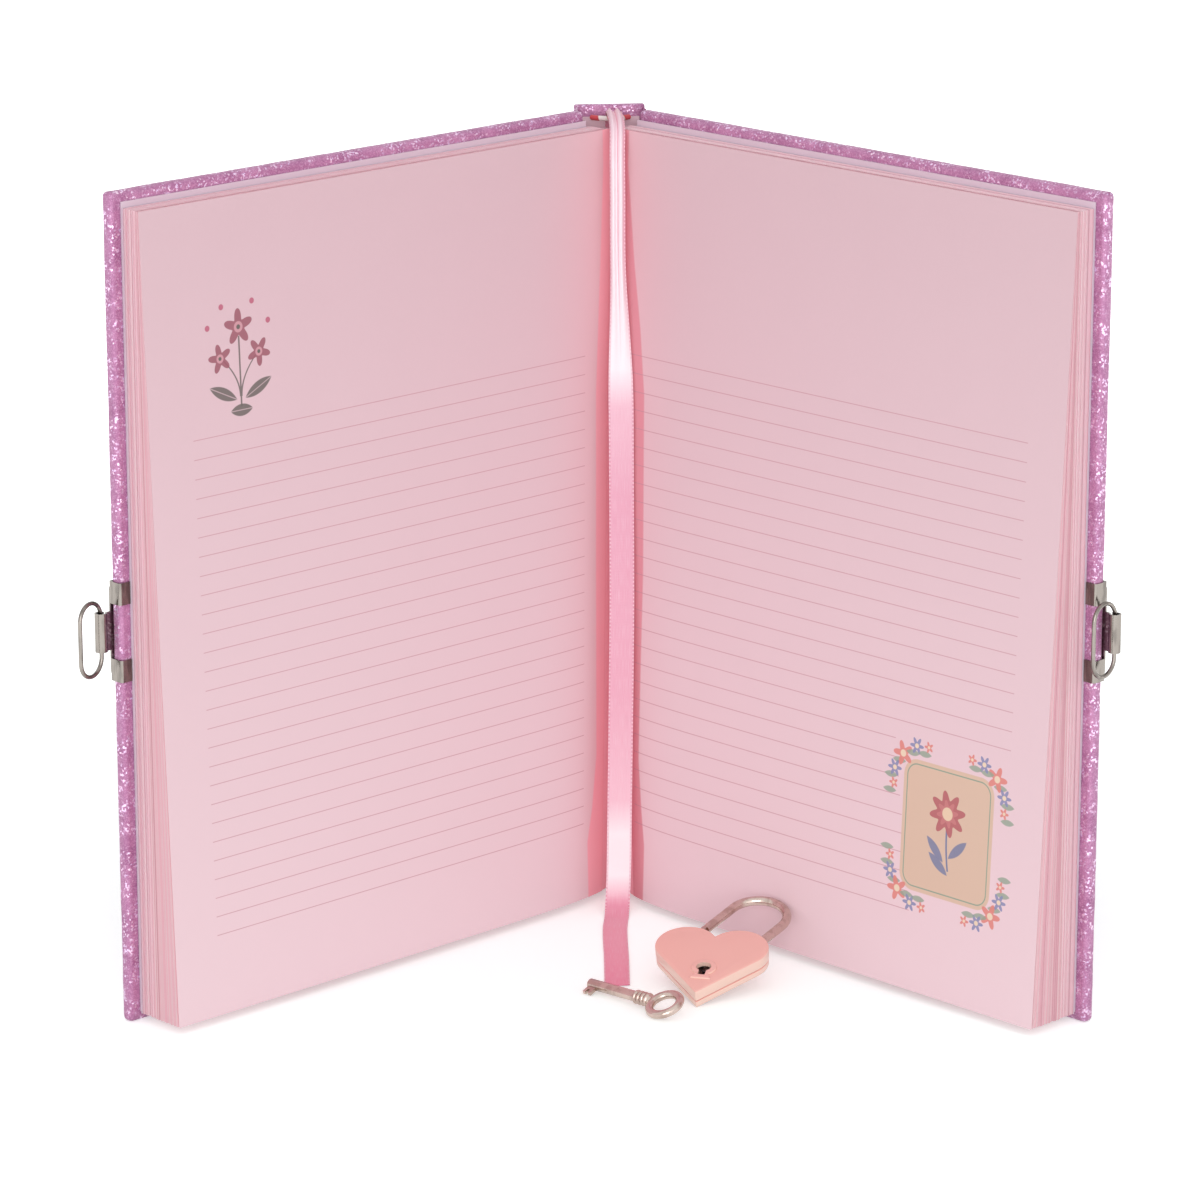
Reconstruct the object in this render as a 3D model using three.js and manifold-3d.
// A hard-cover diary that stands open on its edges, with its lock and key lying in front of it.
// Two padded covers hang on a cloth joint from a flat spine. Each carries half of the sewn
// sections, some leaves that fan out at the foot, and a clasp with an oval ring. A ribbon marker
// hangs in the gutter. The padlock is a heart-shaped case with a swinging shackle and a spring
// latch, and the key is a small barrel key.
// Millimetres, +Z up. The origin is the middle of the spine's foot. The reader sits at -Y, so the
// front cover is on the left (-X) and the back cover on the right (+X).
import * as THREE from 'three';
import { mergeVertices } from 'three/addons/utils/BufferGeometryUtils.js';
import Module from 'manifold-3d';

const wasm = await Module();
wasm.setup();

// Covers
const bookHeight = 210;
const coverWidth = 158;
const coverThickness = 3.6;
const wrapThickness = 0.5;
const turnInWidth = 14;
const edgeRounding = 1.3;
const rimRounding = 0.4;
const boardFit = 0.2;
const frontOpening = 50.7; // degrees that each cover has turned from closed
const backOpening = 39.6;

// Spine and cloth joints
const spineWidth = 18.5;
const spineDepth = 2.6;
const spineTurnIn = 12;
const jointLength = 5.7;
const jointLinerThickness = 0.4;
const creaseGap = 0.3;
const liningThickness = 0.25;
const liningMargin = 2;

// Paper
const square = 3; // how far the covers stand out past the leaves
const blockSag = 1; // the leaves hang this much lower than the middle of the covers
const endpaperThickness = 0.25;
const endpaperSquare = 2.5;
const paperGap = 0.12;
const sectionCount = 4;
const sectionFold = 1.2; // how far a section's fold stands behind the cover's crease
const leafThickness = 0.3;

// How the loose leaves fan out: how far each one stands from the sections at the head and the foot
const fanAtHead = [0.2, 0.7, 1.2];
const fanAtFoot = { front: [3.2, 6.2, 9.4], back: [2.6, 6.6, 10.9] };
const gutterAtHead = -2.5; // how far past the crease a loose leaf starts, at the head
const gutterAtFoot = { front: 6, back: 13 };
const gutterDip = 2.6; // how far a leaf sinks into the gutter
const gutterReach = 9;
const leafSpacing = 1.6; // a power above 1 puts more facets near the gutter, where a leaf bends

// Head and tail bands
const bandRadius = 0.8;
const bandHalfWidth = 5;
const bandBow = 2.2;
const bandSeat = 0.3;

// Ribbon marker
const ribbonWidth = 6.5;
const ribbonFoldedWidth = 4;
const ribbonThickness = 0.4;
const ribbonUnfolds = [0.1, 0.28]; // where along its length it goes from folded to flat

// Clasps: a plate on the cover's outer face, two tabs round its edge, and a rolled knuckle
const claspHeight = 101;
const plateThickness = 0.5;
const plateHeight = 25.2;
const plateWidth = 11;
const plateCorner = 2.5;
const tabHeight = 5.6;
const hardwareSeat = 0.15;
const knuckleLength = 9.8;
const knuckleOffset = 3;
const knuckleWall = 0.5;
const knuckleBore = 0.85;

// Clasp rings
const ringWire = 0.55;
const ringStraight = 10.2;
const ringBend = 4.15;
const ringDrop = 1;
const frontRingAngle = 14; // degrees from straight out of the cover's edge, towards the leaves
const backRingAngle = 88;

// Padlock: a heart-shaped case, its point on the floor and its shackle against the leaves
const lockAlong = 82;
const lockTurn = -18;
const lockTilt = 15;
const lockThickness = 5;
const lobeRadius = 8;
const lobeSpacing = 6.6;
const lobeHeight = 20.8;
const caseWall = 0.8;
const caseBevel = 0.45;
const backPlateFit = 0.15;
const backPlateThickness = 0.8;
const keyholeHeight = 10.8;
const keyholeRadius = 1.5;
const keyholeSlot = 3.4;
const keyholeThroat = 0.55; // half its width
const keyholeFlare = 1.4; // how much wider it is at the foot
const collarHeight = 0.5;
const collarWidth = 1.3;
const keyPostRadius = 0.5;
const innerFit = 0.15;

// Shackle and latch
const shackleRadius = 1.2;
const legSpacing = 7.7;
const pivotHeight = 19.6;
const archHeight = 37;
const shackleOpening = 25;
const toeHeight = 22.6;
const shackleEye = 2.1;
const pivotRadius = 0.8;
const pivotFit = 0.15;
const mouthFit = 0.35;
const notchDepth = 0.7;
const notchHeight = 1.8;
const notchRise = 0.8;
const latchThickness = 1.2;
const latchTravel = 1.4;
const latchArm = 1.6;
const latchNose = 1.1;
const springThickness = 0.3;
const springBow = 1.6;
const springRise = 3.5; // how far its foot stands above the keyhole's centre
const springLength = 7;
const leanGap = 0.35;

// Key
const keyTurn = 130.8;
const keyFromLock = [-8.4, -4.3];
const keyRoll = -22; // it leans on its bit, so its bow stands up a little
const keyPitch = 2.1;
const keyLength = 26;
const keyShaft = 1.4;
const keyBore = 0.7;
const keyBoreDepth = 6;
const bowRadiusAcross = 4.1;
const bowRadiusAlong = 3.9;
const bowWire = 1.1;
const collarCount = 4;
const collarRadius = 1.85;
const collarLength = 1;
const collarPitch = 1.3;
const bitWidth = 2.6;
const bitReach = 3.6;
const bitThickness = 0.9;
const bitFromTip = 0.6;
const bitRoot = 1.05; // where it starts, inside the shaft's wall
const bitSlot = [0.35, 0.65]; // the slot's sides, as shares of the bit's width
const bitSlotDepth = 1.2;

// Fineness of round forms
const roundSteps = 12;
const wireSides = 8;
const shackleSteps = 36;
const ribbonSteps = 70;

const floorGap = 0.05;
const closedHalf = spineWidth / 2;
const creaseY = -spineDepth / 2;
const hingeY = creaseY - jointLength;
const leafFoot = square - blockSag;
const leafHead = bookHeight - square - blockSag;
const leafWidth = coverWidth - square;
const tabReach = square - hardwareSeat;
const endpaperSeat = coverThickness + paperGap;
const flySeat = endpaperSeat + endpaperThickness + paperGap;
const sectionSeat = flySeat + endpaperThickness + paperGap;
const sectionPitch = (closedHalf - paperGap - sectionSeat) / sectionCount;
const blockFace = closedHalf - paperGap;
const diary = new THREE.Group();

const paint = (color, roughness, metalness = 0) =>
  new THREE.MeshStandardMaterial({ color, roughness, metalness });
const leatherette = () => paint(0xb46fb4, 0.45);
const paper = () => paint(0xe6bcc8, 0.9);
const nickel = () => paint(0xb9b2ac, 0.25, 1);
const greyboard = () => paint(0x9b948a, 0.95);
const enamel = () => paint(0xf0b0a5, 0.35);

// Solids from three.js geometry, and back again
function solidOf(geometry) {
  const bare = geometry.clone();
  bare.deleteAttribute('normal');
  bare.deleteAttribute('uv');
  const merged = mergeVertices(bare, 1e-4);
  return new wasm.Manifold(new wasm.Mesh({
    numProp: 3,
    vertProperties: new Float32Array(merged.attributes.position.array),
    triVerts: new Uint32Array(merged.index.array),
  }));
}

function geometryOf(solid) {
  const mesh = solid.getMesh();
  const geometry = new THREE.BufferGeometry();
  geometry.setAttribute('position', new THREE.BufferAttribute(mesh.vertProperties, 3));
  geometry.setIndex(new THREE.BufferAttribute(mesh.triVerts, 1));
  geometry.computeVertexNormals();
  return geometry;
}

function join(first, ...rest) {
  return geometryOf(rest.reduce((sum, next) => sum.add(solidOf(next)), solidOf(first)));
}

function cut(body, ...tools) {
  return geometryOf(tools.reduce((left, tool) => left.subtract(solidOf(tool)), solidOf(body)));
}

function addMesh(group, name, geometry, material) {
  const mesh = new THREE.Mesh(geometry, material);
  mesh.name = name;
  group.add(mesh);
  return mesh;
}

// A box between two corners
function block(x0, x1, y0, y1, z0, z1) {
  const box = new THREE.BoxGeometry(Math.abs(x1 - x0), Math.abs(y1 - y0), z1 - z0);
  return box.translate((x0 + x1) / 2, (y0 + y1) / 2, (z0 + z1) / 2);
}

// A flat outline raised along Z, with its edges rounded inside its own size when asked
function raise(outline, z0, z1, rounding = 0, steps = 2) {
  const solid = new THREE.ExtrudeGeometry(outline, {
    depth: z1 - z0 - 2 * rounding,
    curveSegments: roundSteps,
    bevelEnabled: rounding > 0,
    bevelThickness: rounding,
    bevelSize: rounding,
    bevelOffset: -rounding,
    bevelSegments: steps,
  });
  return solid.translate(0, 0, z0 + rounding);
}

function roundedRect(x0, x1, y0, y1, radius, steps = 3) {
  const [left, right] = [Math.min(x0, x1) + radius, Math.max(x0, x1) - radius];
  const [low, high] = [Math.min(y0, y1) + radius, Math.max(y0, y1) - radius];
  const corners = [[right, low, -90], [right, high, 0], [left, high, 90], [left, low, 180]];
  const points = [];
  for (const [cx, cy, start] of corners) {
    for (let i = 0; i <= steps; i += 1) {
      const angle = THREE.MathUtils.degToRad(start + (90 * i) / steps);
      points.push(new THREE.Vector2(cx + radius * Math.cos(angle), cy + radius * Math.sin(angle)));
    }
  }
  return new THREE.Shape(points);
}

// A rod along a path, with a round section
function rod(path, radius, steps, sides = wireSides) {
  const section = new THREE.Shape();
  section.absarc(0, 0, radius, 0, 2 * Math.PI);
  return new THREE.ExtrudeGeometry(section, {
    extrudePath: path,
    steps,
    curveSegments: sides,
    bevelEnabled: false,
  });
}

function upright(radius, z0, z1, x, y, sides = 2 * roundSteps) {
  const pin = new THREE.CylinderGeometry(radius, radius, z1 - z0, sides);
  return pin.rotateX(Math.PI / 2).translate(x, y, (z0 + z1) / 2);
}

// A thin sheet that is bent by a rule: place(along, up) gives the middle of the sheet
function bentSheet(thickness, stepsAlong, stepsUp, place) {
  const sheet = new THREE.BoxGeometry(1, thickness, 1, stepsAlong, 1, stepsUp);
  const at = sheet.attributes.position;
  for (let i = 0; i < at.count; i += 1) {
    const spot = place(at.getX(i) + 0.5, at.getZ(i) + 0.5, at.getY(i));
    at.setXYZ(i, ...spot);
  }
  return facingOut(sheet);
}

// Covers. In a cover's own frame the crease is at the origin, the cover runs along side * X, and
// the leaves lie towards -Y.
function coverWrap(side) {
  const outer = roundedRect(
    side * creaseGap, side * coverWidth, -coverThickness, 0, edgeRounding);
  const skin = raise(outer, 0, bookHeight, rimRounding);
  const pocket = block(
    side * (creaseGap + wrapThickness), side * (coverWidth - wrapThickness),
    -wrapThickness, -(coverThickness - wrapThickness),
    wrapThickness, bookHeight - wrapThickness);
  const window = block(
    side * turnInWidth, side * (coverWidth - turnInWidth),
    -wrapThickness * 2, -coverThickness - 1,
    turnInWidth, bookHeight - turnInWidth);
  return cut(skin, pocket, window);
}

function coverBoard(side) {
  const inset = wrapThickness + boardFit;
  return block(
    side * (creaseGap + inset), side * (coverWidth - inset),
    -inset, -(coverThickness - inset), inset, bookHeight - inset);
}

function endpaper(side, seat, start, foot, head) {
  return block(
    side * start, side * leafWidth, -seat, -(seat + endpaperThickness), foot, head);
}

// A sewn section: folded sheets, with a round fold at the spine and a square fore-edge
function section(side, index) {
  const near = sectionSeat + index * sectionPitch;
  const far = near + sectionPitch - paperGap;
  const radius = (far - near) / 2;
  const outline = new THREE.Shape();
  outline.moveTo(side * leafWidth, -near);
  outline.lineTo(side * (radius - sectionFold), -near);
  const turn = side > 0;
  outline.absarc(
    side * (radius - sectionFold), -(near + radius), radius,
    Math.PI / 2, -Math.PI / 2 + (turn ? 2 * Math.PI : 0), !turn);
  outline.lineTo(side * leafWidth, -far);
  outline.closePath();
  const solid = new THREE.ExtrudeGeometry(outline, {
    depth: leafHead - leafFoot,
    curveSegments: 4,
    bevelEnabled: false,
  });
  return solid.translate(0, 0, leafFoot);
}

// Where a loose leaf stands: at the head it is close to the sections, and at the foot it has
// swung out. Near the gutter it bends back to the fold.
function leafStand(name, fanHead, fanFoot, along, up) {
  const down = 1 - up;
  const start = THREE.MathUtils.lerp(gutterAtHead, gutterAtFoot[name], down);
  const run = start + (leafWidth - start) * along;
  const fan = THREE.MathUtils.lerp(fanHead, fanFoot, down);
  const dip = gutterDip * down * Math.exp(-(run - start) / gutterReach);
  return [run, blockFace + fan - dip];
}

function looseLeaf(name, side, index) {
  const [fanHead, fanFoot] = [fanAtHead[index], fanAtFoot[name][index]];
  return bentSheet(leafThickness, 14, 6, (along, up, offset) => {
    const [run, stand] = leafStand(name, fanHead, fanFoot, along ** leafSpacing, up);
    return [
      side * run,
      -(stand + leafThickness / 2) - offset * side,
      THREE.MathUtils.lerp(leafFoot, leafHead, up),
    ];
  });
}

// The first of the fanned leaves lie close together, so they are one wedge
function leafWedge(name, side) {
  const start = gutterAtFoot[name];
  const wedge = new THREE.BoxGeometry(leafWidth - start, 1, leafHead - leafFoot);
  wedge.translate(side * (start + leafWidth) / 2, 0, (leafHead + leafFoot) / 2);
  const at = wedge.attributes.position;
  const base = blockFace + paperGap;
  for (let i = 0; i < at.count; i += 1) {
    const foot = at.getZ(i) < bookHeight / 2;
    const reach = blockFace + (foot ? fanAtFoot[name][0] : fanAtHead[0] + leafThickness);
    at.setY(i, at.getY(i) > 0 ? -base : -reach);
  }
  return facingOut(wedge);
}

// A clasp: plate, tabs, leaf and knuckle. Its own frame is the cover's, with Z from its middle.
function clasp(side) {
  const out = hardwareSeat;
  const edge = coverWidth + hardwareSeat;
  const plate = roundedRect(
    side * (coverWidth - plateWidth), side * edge, -plateHeight / 2, plateHeight / 2,
    plateCorner);
  const face = raise(plate, 0, plateThickness).rotateX(Math.PI / 2);
  face.translate(0, out + plateThickness, 0);
  const parts = [];
  for (const end of [-1, 1]) {
    const low = Math.min(end * plateHeight / 2, end * (plateHeight / 2 - tabHeight));
    const tab = block(
      side * (coverWidth - tabReach), side * (edge + plateThickness),
      out + plateThickness, -(coverThickness + out + plateThickness), low, low + tabHeight);
    const inside = block(
      side * (coverWidth - tabReach - 1), side * edge,
      out, -(coverThickness + out), low - 1, low + tabHeight + 1);
    parts.push(cut(tab, inside));
  }
  const knuckleX = side * (coverWidth + knuckleOffset);
  const knuckleY = out + plateThickness / 2;
  const half = knuckleLength / 2;
  const arm = block(
    side * (edge - 1), knuckleX - side * knuckleBore, out, out + plateThickness, -half, half);
  const roll = upright(knuckleBore + knuckleWall, -half, half, knuckleX, knuckleY);
  const bore = upright(knuckleBore, -half - 1, half + 1, knuckleX, knuckleY);
  return cut(join(face, ...parts, arm, roll), bore);
}

// An oval ring of wire, with one straight side on its own Z axis and the rest towards +X
function claspRing() {
  const half = ringStraight / 2;
  const corners = [];
  const bendSteps = 10;
  for (const [z, start] of [[half, 180], [-half, 0]]) {
    for (let i = 0; i <= bendSteps; i += 1) {
      const angle = THREE.MathUtils.degToRad(start - (180 * i) / bendSteps);
      corners.push(new THREE.Vector3(
        ringBend * (1 + Math.cos(angle)), 0, z + ringBend * Math.sin(angle)));
    }
  }
  return ringTube(corners, ringWire);
}

// A closed loop of wire through points that lie in the XZ plane
function ringTube(points, radius) {
  const count = points.length;
  const positions = [];
  for (let i = 0; i < count; i += 1) {
    const before = points[(i + count - 1) % count];
    const after = points[(i + 1) % count];
    const along = after.clone().sub(before).normalize();
    const sideways = new THREE.Vector3(0, 1, 0);
    const outward = along.clone().cross(sideways);
    for (let k = 0; k < wireSides; k += 1) {
      const angle = (2 * Math.PI * k) / wireSides;
      const spot = points[i].clone()
        .addScaledVector(outward, radius * Math.cos(angle))
        .addScaledVector(sideways, radius * Math.sin(angle));
      positions.push(spot.x, spot.y, spot.z);
    }
  }
  const faces = [];
  for (let i = 0; i < count; i += 1) {
    for (let k = 0; k < wireSides; k += 1) {
      const a = i * wireSides + k;
      const b = i * wireSides + ((k + 1) % wireSides);
      const c = ((i + 1) % count) * wireSides + ((k + 1) % wireSides);
      const d = ((i + 1) % count) * wireSides + k;
      faces.push(a, b, c, a, c, d);
    }
  }
  const tube = new THREE.BufferGeometry();
  tube.setAttribute('position', new THREE.Float32BufferAttribute(positions, 3));
  tube.setIndex(faces);
  tube.computeVertexNormals();
  return facingOut(tube);
}

// Turns a closed mesh's faces outwards if its volume comes out negative
function facingOut(geometry) {
  const at = geometry.attributes.position;
  const index = geometry.index.array;
  const corner = (i) => new THREE.Vector3().fromBufferAttribute(at, index[i]);
  let volume = 0;
  for (let i = 0; i < index.length; i += 3) {
    volume += corner(i).dot(corner(i + 1).cross(corner(i + 2)));
  }
  if (volume < 0) {
    for (let i = 0; i < index.length; i += 3) {
      [index[i], index[i + 1]] = [index[i + 1], index[i]];
    }
    geometry.computeVertexNormals();
  }
  return geometry;
}

// The heart outline of the case, drawn in by an inset
function heart(inset = 0) {
  const radius = lobeRadius - inset;
  const pull = Math.hypot(lobeSpacing, lobeHeight);
  const lean = Math.asin(lobeRadius / pull) + Math.atan2(lobeSpacing, lobeHeight);
  const tipY = inset / Math.sin(lean);
  const meet = Math.acos(lobeSpacing / radius);
  const outline = new THREE.Shape();
  outline.moveTo(0, tipY);
  outline.lineTo(lobeSpacing + radius * Math.cos(lean), lobeHeight - radius * Math.sin(lean));
  outline.absarc(lobeSpacing, lobeHeight, radius, -lean, Math.PI - meet, false);
  outline.absarc(-lobeSpacing, lobeHeight, radius, meet, Math.PI + lean, false);
  outline.closePath();
  return outline;
}

function keyhole(grow = 0) {
  const outline = new THREE.Shape();
  const low = keyholeHeight - keyholeSlot - grow;
  const throat = (keyholeThroat + grow) * keyholeFlare;
  outline.absarc(0, keyholeHeight, keyholeRadius + grow, -Math.PI / 3, Math.PI * 4 / 3, false);
  outline.lineTo(-throat, low);
  outline.lineTo(throat, low);
  outline.closePath();
  return outline;
}

// The shackle as it is when shut: two legs and a round arch, in the middle of the case
function shackleRod(radius) {
  const points = [new THREE.Vector3(legSpacing, pivotHeight, 0)];
  const archSteps = 14;
  for (let i = 0; i <= archSteps; i += 1) {
    const angle = (Math.PI * i) / archSteps;
    points.push(new THREE.Vector3(
      legSpacing * Math.cos(angle), archHeight + legSpacing * Math.sin(angle), 0));
  }
  points.push(new THREE.Vector3(-legSpacing, toeHeight, 0));
  return rod(new THREE.CatmullRomCurve3(points, false, 'centripetal'), radius, shackleSteps);
}

function shackle() {
  const half = shackleRadius;
  const eye = upright(shackleEye, -half, half, legSpacing, pivotHeight);
  const bore = upright(pivotRadius + pivotFit, -half - 1, half + 1, legSpacing, pivotHeight);
  const notchY = toeHeight + notchRise;
  const notch = block(
    -legSpacing + shackleRadius - notchDepth, -legSpacing + shackleRadius + 1,
    notchY, notchY + notchHeight, -half - 1, half + 1);
  return cut(join(shackleRod(half), eye), bore, notch);
}

// Room for the shackle to swing: both its legs, grown and turned about the pivot in steps
function shackleRoom() {
  const grown = shackleRadius + mouthFit;
  const ends = [[legSpacing, pivotHeight], [-legSpacing, toeHeight - mouthFit]];
  const room = [];
  const steps = 6;
  for (const [x, low] of ends) {
    for (let i = 0; i <= steps; i += 1) {
      const leg = block(x - grown, x + grown, low, archHeight, -grown, grown);
      leg.translate(-legSpacing, -pivotHeight, 0);
      leg.rotateZ(-THREE.MathUtils.degToRad((shackleOpening * i) / steps));
      room.push(leg.translate(legSpacing, pivotHeight, 0));
    }
  }
  return room;
}

// The case front: a deep tray with the keyhole and its raised collar
function lockFront() {
  const top = lockThickness;
  const body = raise(heart(), 0, top, caseBevel, 3);
  const collar = raise(keyhole(collarWidth), top - caseWall, top + collarHeight);
  const hollow = raise(heart(caseWall), -1, top - caseWall);
  const hole = raise(keyhole(), top - 2 * caseWall, top + collarHeight + 1);
  const room = shackleRoom().map((piece) => piece.translate(0, 0, top / 2));
  return cut(join(body, collar), hollow, hole, ...room);
}

function lockBack() {
  return raise(heart(caseWall + backPlateFit), 0, backPlateThickness);
}

// The latch is a bar that slides across into the shackle's notch. The key's bit pushes it back.
function latch() {
  const noseLow = toeHeight + notchRise + (notchHeight - latchNose) / 2;
  const tip = -legSpacing + shackleRadius - notchDepth + innerFit + latchTravel;
  const armRight = tip + 3 * latchNose + latchArm;
  const outline = new THREE.Shape();
  outline.moveTo(tip, noseLow);
  outline.lineTo(armRight - latchArm, noseLow);
  outline.lineTo(armRight - latchArm, keyholeHeight + keyholeRadius);
  outline.lineTo(armRight, keyholeHeight + keyholeRadius);
  outline.lineTo(armRight, noseLow + latchNose);
  outline.lineTo(tip, noseLow + latchNose);
  outline.closePath();
  return { solid: raise(outline, -latchThickness / 2, latchThickness / 2), right: armRight };
}

// A bent strip that presses the latch towards the shackle
function latchSpring(from) {
  const left = from + innerFit;
  const low = keyholeHeight + springRise;
  const high = low + springLength;
  const middle = (low + high) / 2;
  const [near, far] = [left + springBow, left - springBow];
  const outline = new THREE.Shape();
  outline.moveTo(near, low);
  outline.quadraticCurveTo(far, middle, near, high);
  outline.lineTo(near + springThickness, high);
  outline.quadraticCurveTo(far + springThickness, middle, near + springThickness, low);
  outline.closePath();
  return raise(outline, -latchThickness / 2, latchThickness / 2);
}

// The key lies along +X, bow at the origin, bit towards +Y
function key() {
  const bowPoints = [];
  const steps = 24;
  for (let i = 0; i < steps; i += 1) {
    const angle = (2 * Math.PI * i) / steps;
    bowPoints.push(new THREE.Vector3(
      bowRadiusAlong * Math.cos(angle), 0, bowRadiusAcross * Math.sin(angle)));
  }
  const bow = ringTube(bowPoints, bowWire).rotateX(Math.PI / 2);
  const profile = [[0, bowRadiusAlong], [keyShaft, bowRadiusAlong]];
  const first = bowRadiusAlong + bowWire;
  for (let i = 0; i < collarCount; i += 1) {
    const start = first + i * collarPitch;
    const end = start + collarLength;
    profile.push([keyShaft, start], [collarRadius, start + collarLength * 0.25]);
    profile.push([collarRadius, end - collarLength * 0.25], [keyShaft, end]);
  }
  const tip = keyLength;
  profile.push([keyShaft, tip], [keyBore, tip], [keyBore, tip - keyBoreDepth]);
  profile.push([0, tip - keyBoreDepth]);
  const shaft = new THREE.LatheGeometry(
    profile.map(([radius, along]) => new THREE.Vector2(radius, along)), 2 * wireSides);
  shaft.rotateZ(-Math.PI / 2);
  const bitStart = tip - bitFromTip - bitWidth;
  const bit = block(
    bitStart, bitStart + bitWidth, bitRoot, bitReach, -bitThickness / 2, bitThickness / 2);
  const [slotStart, slotEnd] = bitSlot.map((share) => bitStart + bitWidth * share);
  const slot = block(
    slotStart, slotEnd, bitReach - bitSlotDepth, bitReach + 1, -bitThickness, bitThickness);
  return join(bow, shaft, cut(bit, slot));
}

function bandRod(z) {
  const back = creaseY - liningThickness - paperGap - bandSeat - bandRadius;
  const bead = new THREE.QuadraticBezierCurve3(
    new THREE.Vector3(-bandHalfWidth, back, z),
    new THREE.Vector3(0, back - 2 * bandBow, z),
    new THREE.Vector3(bandHalfWidth, back, z));
  return rod(bead, bandRadius, 16);
}

// The ribbon's middle line, from inside the hollow of the spine, over the head band, down the
// gutter and out along the floor
const ribbonRoute = [
  [0.8, -2.1, 199], [0.8, -2.2, 206], [0.8, -2.9, 208.6], [0.8, -5, 209.3], [0.8, -8, 209.1],
  [0.8, -13, 208.1], [0.7, -16.6, 206], [0.5, -18.4, 201], [0.5, -19.4, 188],
  [0.5, -20, 175], [0.9, -21.2, 154], [1.1, -22.8, 136],
  [1.1, -24.8, 109], [1, -27, 82], [0.6, -29, 55], [0.1, -31, 28], [-0.3, -32.8, 9],
  [-0.8, -35, 2.6], [-1.4, -39.5, 0.6], [-2.8, -50, 0.45], [-4.6, -74, 0.45], [-6.2, -93.6, 0.45],
];

function ribbon() {
  const curve = new THREE.CatmullRomCurve3(
    ribbonRoute.map((point) => new THREE.Vector3(...point)), false, 'centripetal');
  const across = new THREE.Vector3(1, 0, 0);
  return bentSheet(ribbonThickness, 1, ribbonSteps, (side, along, offset) => {
    const spot = curve.getPointAt(along);
    const normal = across.clone().cross(curve.getTangentAt(along)).normalize();
    const open = THREE.MathUtils.smoothstep(along, ...ribbonUnfolds);
    const width = THREE.MathUtils.lerp(ribbonFoldedWidth, ribbonWidth, open);
    spot.addScaledVector(across, (side - 0.5) * width).addScaledVector(normal, offset);
    return [spot.x, spot.y, spot.z];
  });
}

function buildSpine() {
  const half = spineWidth / 2;
  const back = spineDepth / 2;
  const outer = roundedRect(-half, half, -back, back, wrapThickness);
  const skin = raise(outer, 0, bookHeight, rimRounding);
  const inner = half - wrapThickness;
  const pocket = block(
    -inner, inner, back - wrapThickness, -back + wrapThickness,
    wrapThickness, bookHeight - wrapThickness);
  const window = block(
    -inner + liningMargin, inner - liningMargin, 0, -back - 1,
    spineTurnIn, bookHeight - spineTurnIn);
  addMesh(diary, 'spine_wrap', cut(skin, pocket, window), leatherette());
  const inset = wrapThickness + boardFit;
  addMesh(diary, 'spine_board', block(
    -half + inset, half - inset, back - inset, -back + inset, inset, bookHeight - inset),
  greyboard());
  const liningHalf = inner - liningMargin / 2;
  addMesh(diary, 'spine_lining', block(
    -liningHalf, liningHalf, creaseY - paperGap, creaseY - paperGap - liningThickness,
    square, bookHeight - square), paper());
  const bandZ = leafHead + bandSeat + bandRadius;
  addMesh(diary, 'head_band', bandRod(bandZ), paint(0xd8808a, 0.8));
  addMesh(diary, 'tail_band', bandRod(leafFoot - bandSeat - bandRadius), paint(0xd8808a, 0.8));
  addMesh(diary, 'ribbon_marker', ribbon(), paint(0xee8fb0, 0.5));
}

function buildJoint(name, side) {
  const face = side * closedHalf;
  const start = creaseY - creaseGap;
  const end = hingeY + creaseGap;
  addMesh(diary, `${name}_joint_cloth`, block(
    face, face - side * wrapThickness, start, end, 0, bookHeight), leatherette());
  const seat = wrapThickness + paperGap;
  addMesh(diary, `${name}_joint_liner`, block(
    face - side * seat, face - side * (seat + jointLinerThickness), start, end,
    endpaperSquare, bookHeight - endpaperSquare), paper());
}

function buildCover(name, side, opening, ringAngle) {
  const cover = new THREE.Group();
  cover.position.set(side * closedHalf, hingeY, 0);
  cover.rotation.z = THREE.MathUtils.degToRad(side * (opening - 90));
  diary.add(cover);
  addMesh(cover, `${name}_wrap`, coverWrap(side), leatherette());
  addMesh(cover, `${name}_board`, coverBoard(side), greyboard());
  addMesh(cover, `${name}_pastedown`, endpaper(
    side, endpaperSeat, creaseGap, endpaperSquare, bookHeight - endpaperSquare), paper());
  addMesh(cover, `${name}_flyleaf`, endpaper(
    side, flySeat, creaseGap, leafFoot, leafHead), paper());
  for (let i = 0; i < sectionCount; i += 1) {
    addMesh(cover, `${name}_section_${i + 1}`, section(side, i), paper());
  }
  addMesh(cover, `${name}_leaf_wedge`, leafWedge(name, side), paper());
  addMesh(cover, `${name}_loose_leaf`, looseLeaf(name, side, 1), paper());
  addMesh(cover, `${name}_page`, looseLeaf(name, side, 2), paper());
  addMesh(cover, `${name}_clasp`, clasp(side), nickel()).position.z = claspHeight;
  const ring = addMesh(cover, `${name}_ring`, claspRing(), nickel());
  ring.position.set(
    side * (coverWidth + knuckleOffset), hardwareSeat + plateThickness / 2,
    claspHeight - ringDrop);
  ring.rotation.z = THREE.MathUtils.degToRad(side > 0 ? -ringAngle : 180 + ringAngle);
  return cover;
}

// How far the lock has to move from a cover's crease for its shackle to lean on the page
function leanOffset(lock, cover) {
  diary.updateMatrixWorld(true);
  const toCover = cover.matrixWorld.clone().invert();
  const leaning = lock.getObjectByName('shackle');
  const at = leaning.geometry.attributes.position;
  let short = -Infinity;
  for (let i = 0; i < at.count; i += 1) {
    const spot = new THREE.Vector3().fromBufferAttribute(at, i);
    spot.applyMatrix4(leaning.matrixWorld).applyMatrix4(toCover);
    const up = (spot.z - leafFoot) / (leafHead - leafFoot);
    const along = spot.x / leafWidth;
    const [, stand] = leafStand('back', fanAtHead[2], fanAtFoot.back[2], along, up);
    short = Math.max(short, stand + leafThickness + leanGap + spot.y);
  }
  return short;
}

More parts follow.
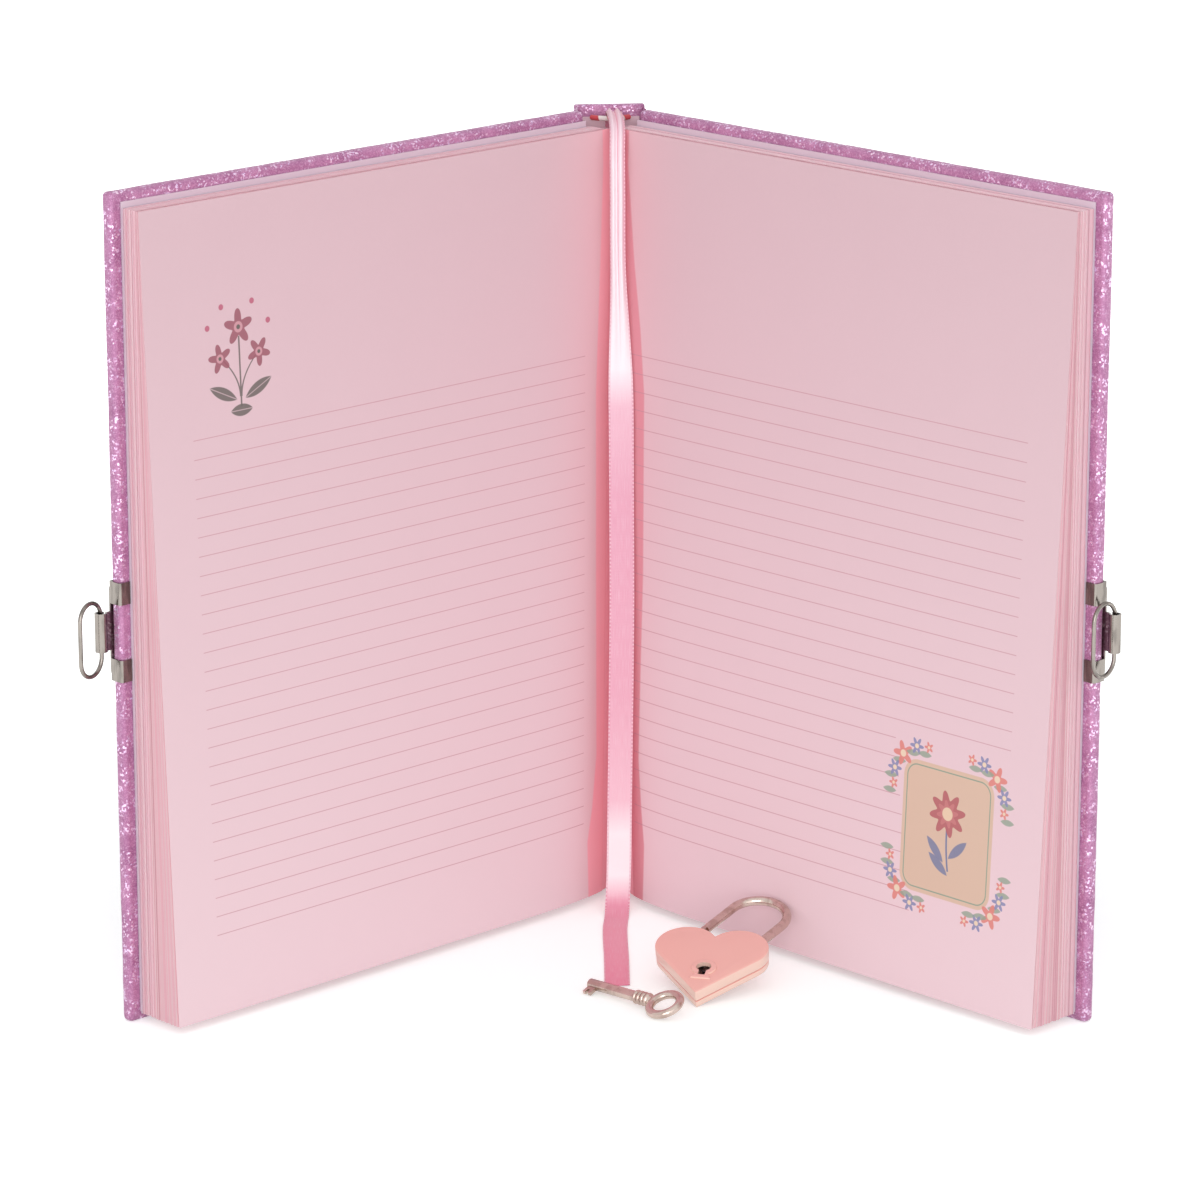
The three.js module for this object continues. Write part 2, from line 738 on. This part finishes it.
function buildLock(cover) {
  const lock = new THREE.Group();
  const middle = lockThickness / 2;
  addMesh(lock, 'lock_front', lockFront(), enamel());
  addMesh(lock, 'lock_back_plate', lockBack(), enamel());
  const bottom = backPlateThickness + innerFit;
  const ceiling = lockThickness - caseWall - innerFit;
  addMesh(lock, 'shackle_pivot', upright(
    pivotRadius, bottom, ceiling, legSpacing, pivotHeight), nickel());
  addMesh(lock, 'key_post', upright(
    keyPostRadius, bottom, ceiling, 0, keyholeHeight, wireSides), nickel());
  const bar = latch();
  addMesh(lock, 'latch_bar', bar.solid, nickel()).position.z = middle;
  addMesh(lock, 'latch_spring', latchSpring(bar.right), nickel()).position.z = middle;
  const bow = addMesh(lock, 'shackle', shackle().translate(-legSpacing, -pivotHeight, 0), nickel());
  bow.position.set(legSpacing, pivotHeight, middle);
  bow.rotation.z = -THREE.MathUtils.degToRad(shackleOpening);
  lock.rotation.set(
    THREE.MathUtils.degToRad(lockTilt), 0, THREE.MathUtils.degToRad(lockTurn), 'ZXY');
  lock.position.copy(cover.localToWorld(new THREE.Vector3(lockAlong, 0, 0)));
  diary.add(lock);
  const lift = new THREE.Box3().setFromObject(lock, true).min.z;
  lock.position.z = floorGap - lift;
  const away = new THREE.Vector3(0, -1, 0).applyQuaternion(cover.quaternion);
  lock.position.addScaledVector(away, leanOffset(lock, cover));
  return lock;
}

function buildKey(lock) {
  const mesh = addMesh(diary, 'key', key(), nickel());
  mesh.rotation.set(
    THREE.MathUtils.degToRad(keyRoll), THREE.MathUtils.degToRad(keyPitch),
    THREE.MathUtils.degToRad(keyTurn), 'ZYX');
  mesh.position.set(lock.position.x + keyFromLock[0], lock.position.y + keyFromLock[1], 0);
  mesh.position.z = floorGap - new THREE.Box3().setFromObject(mesh, true).min.z;
}

buildSpine();
buildJoint('front', -1);
buildJoint('back', 1);
buildCover('front', -1, frontOpening, frontRingAngle);
const backCover = buildCover('back', 1, backOpening, backRingAngle);
backCover.updateMatrixWorld(true);
buildKey(buildLock(backCover));

export default diary;
